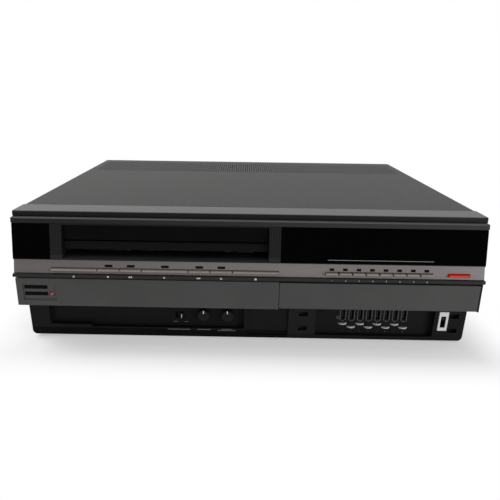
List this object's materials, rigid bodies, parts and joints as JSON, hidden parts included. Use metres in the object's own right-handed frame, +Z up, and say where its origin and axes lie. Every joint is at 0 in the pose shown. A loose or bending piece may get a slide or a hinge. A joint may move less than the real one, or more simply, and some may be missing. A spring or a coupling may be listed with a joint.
{
  "type": "video cassette recorder",
  "caption": "Front-loading home video recorder: cassette slot with sprung door, key row, tuner wheels, hinged flap, and a cassette lift, drum and reel tables under a vented cover.",
  "frame": {"origin": "middle of the footprint, on the surface the recorder stands on", "axes": "+X to the right of someone facing the front, front faces -Y, +Z up"},
  "size_m": [0.435, 0.35, 0.1349],
  "materials": {
    "painted_steel": "satin dark grey paint on folded steel",
    "trim_grey": "satin blue-grey paint",
    "black_plastic": "fine matt black moulding",
    "gloss_black": "polished smoked black",
    "silver_trim": "fine brushed, warm grey anodised",
    "grey_plastic": "fine matt dark grey moulding",
    "key_grey": "satin light grey",
    "door_grey": "matt charcoal moulding",
    "orange_key": "satin orange-red",
    "red_lens": "polished translucent red",
    "white_plastic": "satin white",
    "wheel_white": "satin off-white",
    "zinc_steel": "bright zinc plate",
    "bright_steel": "finely machined",
    "rubber": "matt black",
    "circuit_board": "brown laminate with components",
    "transformer_iron": "varnished laminations"
  },
  "bodies": {
    "case": {"base_chassis": "zinc_steel", "rear_panel": "zinc_steel", "top_cover": "painted_steel", "top_trim": "trim_grey", "front_fascia": "black_plastic", "slot_surround": "black_plastic", "badge_window": "gloss_black", "display_window": "gloss_black", "trim_strip": "silver_trim", "left_panel": "grey_plastic", "control_tray": "black_plastic", "standby_lamp": "red_lens", "switch_plate": "white_plastic", "deck_plate": "zinc_steel", "drum_base": "bright_steel", "main_board": "circuit_board", "power_transformer": "transformer_iron", "front_left_foot": "rubber", "front_right_foot": "rubber", "rear_left_foot": "rubber", "rear_right_foot": "rubber"},
    "cassette_door": {"cassette_door": "door_grey"},
    "control_flap": {"control_flap": "grey_plastic"},
    "eject_key": {"eject_key": "key_grey"},
    "record_key": {"record_key": "key_grey"},
    "rewind_key": {"rewind_key": "key_grey"},
    "play_key": {"play_key": "key_grey"},
    "fast_forward_key": {"fast_forward_key": "key_grey"},
    "pause_key": {"pause_key": "key_grey"},
    "stop_key": {"stop_key": "key_grey"},
    "programme_key_1": {"programme_key_1": "key_grey"},
    "programme_key_2": {"programme_key_2": "key_grey"},
    "programme_key_3": {"programme_key_3": "key_grey"},
    "programme_key_4": {"programme_key_4": "key_grey"},
    "programme_key_5": {"programme_key_5": "key_grey"},
    "programme_key_6": {"programme_key_6": "key_grey"},
    "programme_key_7": {"programme_key_7": "key_grey"},
    "programme_key_8": {"programme_key_8": "key_grey"},
    "operate_key": {"operate_key": "orange_key"},
    "timer_button": {"timer_button": "black_plastic"},
    "memory_button": {"memory_button": "black_plastic"},
    "input_switch": {"input_switch": "white_plastic"},
    "plate_switch": {"plate_switch": "black_plastic"},
    "tracking_knob": {"tracking_knob": "black_plastic"},
    "picture_knob": {"picture_knob": "black_plastic"},
    "tuning_wheel_1": {"tuning_wheel_1": "wheel_white"},
    "tuning_wheel_2": {"tuning_wheel_2": "wheel_white"},
    "tuning_wheel_3": {"tuning_wheel_3": "wheel_white"},
    "tuning_wheel_4": {"tuning_wheel_4": "wheel_white"},
    "tuning_wheel_5": {"tuning_wheel_5": "wheel_white"},
    "tuning_wheel_6": {"tuning_wheel_6": "wheel_white"},
    "tuning_wheel_7": {"tuning_wheel_7": "wheel_white"},
    "tuning_wheel_8": {"tuning_wheel_8": "wheel_white"},
    "feed_slider": {"feed_slider": "zinc_steel"},
    "cassette_carriage": {"cassette_carriage": "zinc_steel"},
    "drum_rotor": {"drum_rotor": "bright_steel"},
    "capstan": {"capstan": "bright_steel"},
    "pinch_roller": {"pinch_roller": "rubber"},
    "supply_reel_table": {"supply_reel_table": "white_plastic"},
    "takeup_reel_table": {"takeup_reel_table": "white_plastic"}
  },
  "joints": [
    {"name": "door_hinge", "type": "hinge", "parent": "case", "child": "cassette_door", "pos_m": [-0.0765, -0.1617, 0.1215], "axis": [1, 0, 0], "range_deg": [0, 90], "stiffness_Nm_per_rad": 0.003, "springref_deg": -34.38},
    {"name": "flap_hinge", "type": "hinge", "parent": "case", "child": "control_flap", "pos_m": [0.12265, -0.1687, 0.048], "axis": [1, 0, 0], "range_deg": [0, 90]},
    {"name": "eject_press", "type": "slide", "parent": "case", "child": "eject_key", "axis": [0, 1, 0], "range_m": [0, 0.0015], "stiffness_N_per_m": 250, "springref_m": -0.001},
    {"name": "record_press", "type": "slide", "parent": "case", "child": "record_key", "axis": [0, 1, 0], "range_m": [0, 0.0015], "stiffness_N_per_m": 250, "springref_m": -0.001},
    {"name": "rewind_press", "type": "slide", "parent": "case", "child": "rewind_key", "axis": [0, 1, 0], "range_m": [0, 0.0015], "stiffness_N_per_m": 250, "springref_m": -0.001},
    {"name": "play_press", "type": "slide", "parent": "case", "child": "play_key", "axis": [0, 1, 0], "range_m": [0, 0.0015], "stiffness_N_per_m": 250, "springref_m": -0.001},
    {"name": "fast_forward_press", "type": "slide", "parent": "case", "child": "fast_forward_key", "axis": [0, 1, 0], "range_m": [0, 0.0015], "stiffness_N_per_m": 250, "springref_m": -0.001},
    {"name": "pause_press", "type": "slide", "parent": "case", "child": "pause_key", "axis": [0, 1, 0], "range_m": [0, 0.0015], "stiffness_N_per_m": 250, "springref_m": -0.001},
    {"name": "stop_press", "type": "slide", "parent": "case", "child": "stop_key", "axis": [0, 1, 0], "range_m": [0, 0.0015], "stiffness_N_per_m": 250, "springref_m": -0.001},
    {"name": "programme_press_1", "type": "slide", "parent": "case", "child": "programme_key_1", "axis": [0, 1, 0], "range_m": [0, 0.0015], "stiffness_N_per_m": 250, "springref_m": -0.001},
    {"name": "programme_press_2", "type": "slide", "parent": "case", "child": "programme_key_2", "axis": [0, 1, 0], "range_m": [0, 0.0015], "stiffness_N_per_m": 250, "springref_m": -0.001},
    {"name": "programme_press_3", "type": "slide", "parent": "case", "child": "programme_key_3", "axis": [0, 1, 0], "range_m": [0, 0.0015], "stiffness_N_per_m": 250, "springref_m": -0.001},
    {"name": "programme_press_4", "type": "slide", "parent": "case", "child": "programme_key_4", "axis": [0, 1, 0], "range_m": [0, 0.0015], "stiffness_N_per_m": 250, "springref_m": -0.001},
    {"name": "programme_press_5", "type": "slide", "parent": "case", "child": "programme_key_5", "axis": [0, 1, 0], "range_m": [0, 0.0015], "stiffness_N_per_m": 250, "springref_m": -0.001},
    {"name": "programme_press_6", "type": "slide", "parent": "case", "child": "programme_key_6", "axis": [0, 1, 0], "range_m": [0, 0.0015], "stiffness_N_per_m": 250, "springref_m": -0.001},
    {"name": "programme_press_7", "type": "slide", "parent": "case", "child": "programme_key_7", "axis": [0, 1, 0], "range_m": [0, 0.0015], "stiffness_N_per_m": 250, "springref_m": -0.001},
    {"name": "programme_press_8", "type": "slide", "parent": "case", "child": "programme_key_8", "axis": [0, 1, 0], "range_m": [0, 0.0015], "stiffness_N_per_m": 250, "springref_m": -0.001},
    {"name": "operate_press", "type": "slide", "parent": "case", "child": "operate_key", "axis": [0, 1, 0], "range_m": [0, 0.0015], "stiffness_N_per_m": 250, "springref_m": -0.001},
    {"name": "timer_press", "type": "slide", "parent": "case", "child": "timer_button", "axis": [0, 1, 0], "range_m": [0, 0.0015], "stiffness_N_per_m": 250, "springref_m": -0.001},
    {"name": "memory_press", "type": "slide", "parent": "case", "child": "memory_button", "axis": [0, 1, 0], "range_m": [0, 0.0015], "stiffness_N_per_m": 250, "springref_m": -0.001},
    {"name": "input_slide", "type": "slide", "parent": "case", "child": "input_switch", "axis": [-1, 0, 0], "range_m": [0, 0.003]},
    {"name": "plate_slide", "type": "slide", "parent": "case", "child": "plate_switch", "axis": [0, 0, -1], "range_m": [0, 0.0066]},
    {"name": "tracking_turn", "type": "hinge", "parent": "case", "child": "tracking_knob", "pos_m": [-0.0435, -0.1411, 0.02629], "axis": [0, 1, 0], "range_deg": [-135, 135]},
    {"name": "picture_turn", "type": "hinge", "parent": "case", "child": "picture_knob", "pos_m": [-0.01966, -0.1411, 0.02629], "axis": [0, 1, 0], "range_deg": [-135, 135]},
    {"name": "tuning_turn_1", "type": "hinge", "parent": "case", "child": "tuning_wheel_1", "pos_m": [0.09709, -0.1389, 0.0176], "axis": [0, 0, 1], "continuous": true},
    {"name": "tuning_turn_2", "type": "hinge", "parent": "case", "child": "tuning_wheel_2", "pos_m": [0.10589, -0.1389, 0.014], "axis": [0, 0, 1], "continuous": true},
    {"name": "tuning_turn_3", "type": "hinge", "parent": "case", "child": "tuning_wheel_3", "pos_m": [0.11468, -0.1389, 0.0176], "axis": [0, 0, 1], "continuous": true},
    {"name": "tuning_turn_4", "type": "hinge", "parent": "case", "child": "tuning_wheel_4", "pos_m": [0.12347, -0.1389, 0.014], "axis": [0, 0, 1], "continuous": true},
    {"name": "tuning_turn_5", "type": "hinge", "parent": "case", "child": "tuning_wheel_5", "pos_m": [0.13226, -0.1389, 0.0176], "axis": [0, 0, 1], "continuous": true},
    {"name": "tuning_turn_6", "type": "hinge", "parent": "case", "child": "tuning_wheel_6", "pos_m": [0.14106, -0.1389, 0.014], "axis": [0, 0, 1], "continuous": true},
    {"name": "tuning_turn_7", "type": "hinge", "parent": "case", "child": "tuning_wheel_7", "pos_m": [0.14985, -0.1389, 0.0176], "axis": [0, 0, 1], "continuous": true},
    {"name": "tuning_turn_8", "type": "hinge", "parent": "case", "child": "tuning_wheel_8", "pos_m": [0.15864, -0.1389, 0.014], "axis": [0, 0, 1], "continuous": true},
    {"name": "cassette_feed", "type": "slide", "parent": "case", "child": "feed_slider", "axis": [0, 1, 0], "range_m": [0, 0.02]},
    {"name": "cassette_lower", "type": "slide", "parent": "feed_slider", "child": "cassette_carriage", "axis": [0, 0, -1], "range_m": [0, 0.026]},
    {"name": "drum_spin", "type": "hinge", "parent": "case", "child": "drum_rotor", "pos_m": [-0.0705, 0.0062, 0.0679], "axis": [0, -0.0958, 0.9954], "continuous": true},
    {"name": "capstan_spin", "type": "hinge", "parent": "case", "child": "capstan", "pos_m": [-0.0145, -0.0188, 0.0616], "axis": [0, 0, 1], "continuous": true},
    {"name": "pinch_spin", "type": "hinge", "parent": "case", "child": "pinch_roller", "pos_m": [-0.0145, -0.0098, 0.0619], "axis": [0, 0, 1], "continuous": true},
    {"name": "supply_reel_spin", "type": "hinge", "parent": "case", "child": "supply_reel_table", "pos_m": [-0.1225, -0.0848, 0.0616], "axis": [0, 0, 1], "continuous": true},
    {"name": "takeup_reel_spin", "type": "hinge", "parent": "case", "child": "takeup_reel_table", "pos_m": [-0.0305, -0.0848, 0.0616], "axis": [0, 0, 1], "continuous": true}
  ]
}
